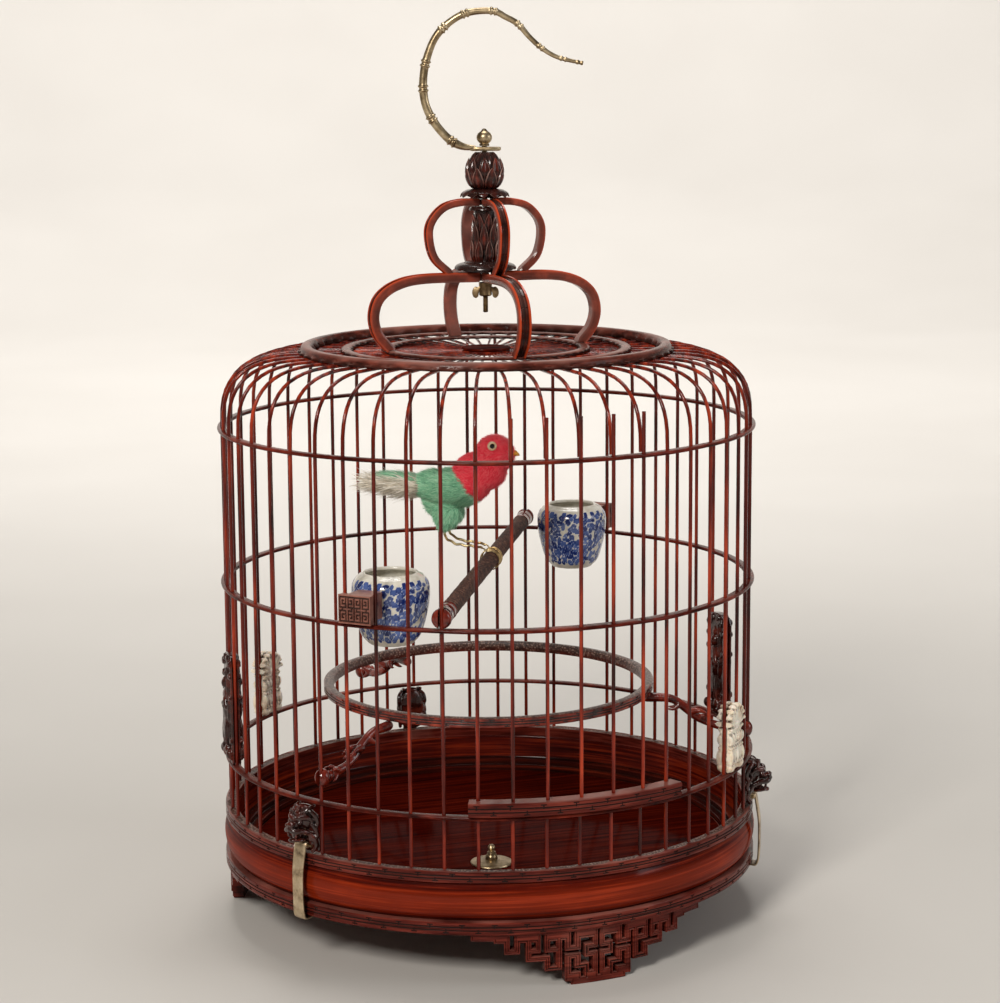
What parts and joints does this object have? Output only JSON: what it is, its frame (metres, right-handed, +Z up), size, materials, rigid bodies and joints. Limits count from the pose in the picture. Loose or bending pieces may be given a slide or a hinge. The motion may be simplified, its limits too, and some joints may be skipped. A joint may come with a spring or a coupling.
{
  "type": "bamboo bird cage",
  "caption": "Round lacquered bamboo bird cage with a hook, sliding door, clasped base on fretwork feet, perches, porcelain cups and a decoy bird.",
  "frame": {"origin": "on the cage's axis, level with the soles of the feet", "axes": "+Z up along the cage's axis, -Y towards the sliding door, +X to the right of a viewer who faces the door"},
  "size_m": [0.247, 0.2554, 0.4089],
  "materials": {
    "bamboo": "round split bamboo under glossy red-brown lacquer",
    "carved_wood": "carved bamboo and hardwood, red-brown lacquer, semi-gloss",
    "lacquered_wood": "smooth wood with visible grain under glossy red lacquer",
    "dark_wood": "dark carved hardwood, semi-gloss",
    "sanded_wood": "dark wood coated with fine grit, lacquered turned ends",
    "brass": "aged brass, satin",
    "porcelain": "white glaze painted in blue",
    "bone": "carved ivory-coloured bone, satin",
    "green_feathers": "dyed green feathers, matt",
    "red_feathers": "dyed red feathers, matt",
    "cream_feathers": "undyed cream feathers, matt"
  },
  "bodies": {
    "cage": {"foot_front": "carved_wood", "foot_left": "carved_wood", "foot_right": "carved_wood", "lower_rim": "carved_wood", "drum": "lacquered_wood", "top_rim": "carved_wood", "bars_front": "bamboo", "bars_right": "bamboo", "bars_back": "bamboo", "bars_left": "bamboo", "lower_hoop": "carved_wood", "middle_hoop": "carved_wood", "upper_hoop": "carved_wood", "roof_ring_outer": "carved_wood", "roof_ring_middle": "carved_wood", "roof_ring_inner": "carved_wood", "roof_disc": "lacquered_wood", "arch_front": "carved_wood", "arch_right": "carved_wood", "arch_back": "carved_wood", "arch_left": "carved_wood", "crown_arch_front": "carved_wood", "crown_arch_right": "carved_wood", "crown_arch_back": "carved_wood", "crown_arch_left": "carved_wood", "petal_disc_lower": "carved_wood", "lotus_column": "carved_wood", "petal_disc_upper": "carved_wood", "lotus_bud": "carved_wood", "rod": "brass", "wing_nut": "brass", "acorn_nut": "brass", "clasp_head_left": "carved_wood", "clasp_head_right": "carved_wood", "clasp_head_back": "carved_wood", "cup_front": "porcelain", "cup_back": "porcelain", "cup_clip_front": "carved_wood", "cup_clip_back": "carved_wood", "bone_plaque_right": "bone", "bone_plaque_left": "bone", "wood_plaque_right": "dark_wood", "wood_plaque_left": "dark_wood"},
    "floor": {"floor_board": "lacquered_wood", "floor_pull": "brass"},
    "door": {"door": "carved_wood"},
    "hook": {"hook": "brass"},
    "strap_left": {"clasp_strap_left": "brass"},
    "strap_right": {"clasp_strap_right": "brass"},
    "strap_back": {"clasp_strap_back": "brass"},
    "ring_perch": {"ring_perch": "carved_wood", "ring_arm_left": "lacquered_wood", "ring_arm_right": "lacquered_wood", "ring_arm_back": "lacquered_wood"},
    "perch": {"perch": "sanded_wood", "bird_body": "green_feathers", "bird_head": "red_feathers", "bird_tail": "cream_feathers", "bird_legs": "brass"}
  },
  "joints": [
    {"name": "hook_swivel", "type": "hinge", "parent": "cage", "child": "hook", "pos_m": [0, 0, 0.3479], "axis": [0, 0, 1], "continuous": true},
    {"name": "door_slide", "type": "slide", "parent": "cage", "child": "door", "axis": [0, 0, 1], "range_m": [0, 0.068]},
    {"name": "floor_lift", "type": "slide", "parent": "cage", "child": "floor", "axis": [0, 0, 1], "range_m": [0, 0.04]},
    {"name": "perch_slide", "type": "slide", "parent": "cage", "child": "perch", "axis": [0, 0, 1], "range_m": [0, 0.035]},
    {"name": "ring_perch_slide", "type": "slide", "parent": "cage", "child": "ring_perch", "axis": [0, 0, 1], "range_m": [-0.004, 0.03]},
    {"name": "clasp_left_swing", "type": "hinge", "parent": "cage", "child": "strap_left", "pos_m": [-0.10555, -0.06217, 0.056], "axis": [-0.5075, 0.8616, 0], "range_deg": [0, 60]},
    {"name": "clasp_right_swing", "type": "hinge", "parent": "cage", "child": "strap_right", "pos_m": [0.10662, -0.06032, 0.056], "axis": [-0.4924, -0.8704, 0], "range_deg": [0, 60]},
    {"name": "clasp_back_swing", "type": "hinge", "parent": "cage", "child": "strap_back", "pos_m": [-0.00107, 0.1225, 0.056], "axis": [1, 0.0087, 0], "range_deg": [0, 60]}
  ]
}
